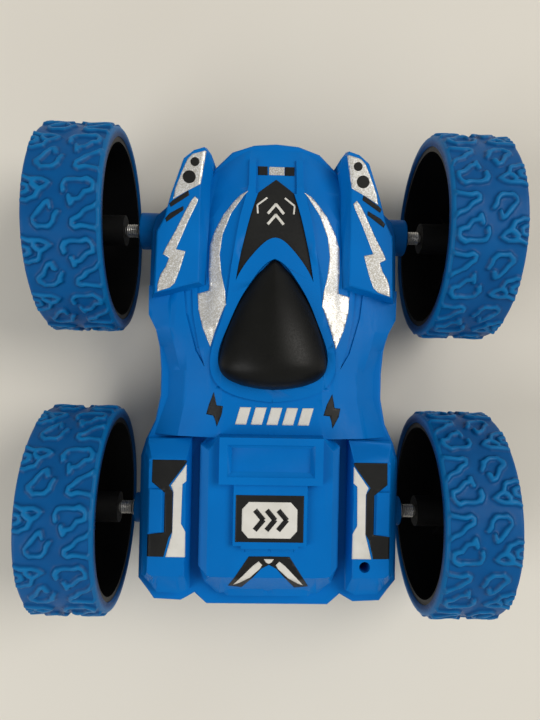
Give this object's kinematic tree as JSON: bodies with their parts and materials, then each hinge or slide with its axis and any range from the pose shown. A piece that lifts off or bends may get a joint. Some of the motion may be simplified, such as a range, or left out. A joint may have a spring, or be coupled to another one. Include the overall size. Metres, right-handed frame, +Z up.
{
  "type": "rc stunt car",
  "caption": "Double-sided radio controlled stunt car: low two-faced body with domed canopies, geared rear drive and oversized treaded tyres that stand above and below it.",
  "frame": {"origin": "on the floor under the middle of the wheelbase, on the car's centre line", "axes": "+X to the car's right, +Y towards the nose, +Z up"},
  "size_m": [0.1416, 0.156, 0.066],
  "materials": {
    "body_blue": "moulded bright blue plastic with a satin gloss",
    "tyre_blue": "moulded blue rubber",
    "black_gloss": "black plastic with a soft gloss",
    "black_matte": "black plastic",
    "steel": "bright steel",
    "bronze": "sintered bronze",
    "gear_white": "natural white nylon",
    "gear_case": "dark grey plastic",
    "brass": "bright brass",
    "board_green": "solder mask",
    "battery_wrap": "shrink film",
    "silver_foil": "fine silver foil of the stickers",
    "sticker_cream": "cream stickers",
    "sticker_black": "black stickers"
  },
  "bodies": {
    "chassis": {"upper_shell": "body_blue", "lower_shell": "body_blue", "upper_canopy": "black_matte", "lower_canopy": "black_matte", "upper_hood_panel": "sticker_black", "lower_hood_panel": "sticker_black", "battery_pack": "battery_wrap", "circuit_board": "board_green", "board_components": "black_matte", "power_switch": "black_matte", "shell_screws": "steel", "front_bushes": "bronze", "rear_outer_bushes": "bronze", "rear_inner_bushes": "bronze", "left_compound_pin": "steel", "left_motor_can": "steel", "left_motor_end_cap": "gear_white", "left_gearbox": "gear_case", "left_gearbox_cover": "gear_case", "right_compound_pin": "steel", "right_motor_can": "steel", "right_motor_end_cap": "gear_white", "right_gearbox": "gear_case", "right_gearbox_cover": "gear_case"},
    "front_left_wheel": {"front_left_tyre": "tyre_blue", "front_left_rim": "black_matte", "front_left_hub_cap": "black_gloss", "front_left_axle": "steel", "front_left_axle_clip": "steel"},
    "rear_left_wheel": {"rear_left_tyre": "tyre_blue", "rear_left_rim": "black_matte", "rear_left_hub_cap": "black_gloss", "rear_left_axle": "steel", "left_final_gear": "gear_white"},
    "left_compound": {"left_compound_gear": "gear_white"},
    "left_rotor": {"left_motor_rotor": "steel", "left_motor_pinion": "brass"},
    "front_right_wheel": {"front_right_tyre": "tyre_blue", "front_right_rim": "black_matte", "front_right_hub_cap": "black_gloss", "front_right_axle": "steel", "front_right_axle_clip": "steel"},
    "rear_right_wheel": {"rear_right_tyre": "tyre_blue", "rear_right_rim": "black_matte", "rear_right_hub_cap": "black_gloss", "rear_right_axle": "steel", "right_final_gear": "gear_white"},
    "right_compound": {"right_compound_gear": "gear_white"},
    "right_rotor": {"right_motor_rotor": "steel", "right_motor_pinion": "brass"},
    "switch_knob": {"switch_knob": "black_gloss"},
    "battery_door": {"battery_door": "body_blue"}
  },
  "joints": [
    {"name": "front_left_wheel_spin", "type": "hinge", "parent": "chassis", "child": "front_left_wheel", "pos_m": [-0.03, 0.045, 0.033], "axis": [1, 0, 0], "continuous": true},
    {"name": "rear_left_wheel_spin", "type": "hinge", "parent": "chassis", "child": "rear_left_wheel", "pos_m": [-0.03, -0.045, 0.033], "axis": [1, 0, 0], "continuous": true},
    {"name": "left_compound_spin", "type": "hinge", "parent": "chassis", "child": "left_compound", "pos_m": [-0.03, -0.033, 0.033], "axis": [1, 0, 0], "continuous": true},
    {"name": "left_rotor_spin", "type": "hinge", "parent": "chassis", "child": "left_rotor", "pos_m": [-0.03, -0.021, 0.033], "axis": [1, 0, 0], "continuous": true},
    {"name": "front_right_wheel_spin", "type": "hinge", "parent": "chassis", "child": "front_right_wheel", "pos_m": [0.03, 0.045, 0.033], "axis": [1, 0, 0], "continuous": true},
    {"name": "rear_right_wheel_spin", "type": "hinge", "parent": "chassis", "child": "rear_right_wheel", "pos_m": [0.03, -0.045, 0.033], "axis": [1, 0, 0], "continuous": true},
    {"name": "right_compound_spin", "type": "hinge", "parent": "chassis", "child": "right_compound", "pos_m": [0.03, -0.033, 0.033], "axis": [1, 0, 0], "continuous": true},
    {"name": "right_rotor_spin", "type": "hinge", "parent": "chassis", "child": "right_rotor", "pos_m": [0.03, -0.021, 0.033], "axis": [1, 0, 0], "continuous": true},
    {"name": "switch_slide", "type": "slide", "parent": "chassis", "child": "switch_knob", "axis": [1, 0, 0], "range_m": [0, 0.003]},
    {"name": "battery_door_hinge", "type": "hinge", "parent": "chassis", "child": "battery_door", "pos_m": [0, -0.0179, 0.0156], "axis": [1, 0, 0], "range_deg": [0, 70]}
  ],
  "couplings": [
    {"joint": "left_compound_spin", "follows": "rear_left_wheel_spin", "ratio": -3},
    {"joint": "left_rotor_spin", "follows": "rear_left_wheel_spin", "ratio": 9},
    {"joint": "right_compound_spin", "follows": "rear_right_wheel_spin", "ratio": -3},
    {"joint": "right_rotor_spin", "follows": "rear_right_wheel_spin", "ratio": 9}
  ]
}
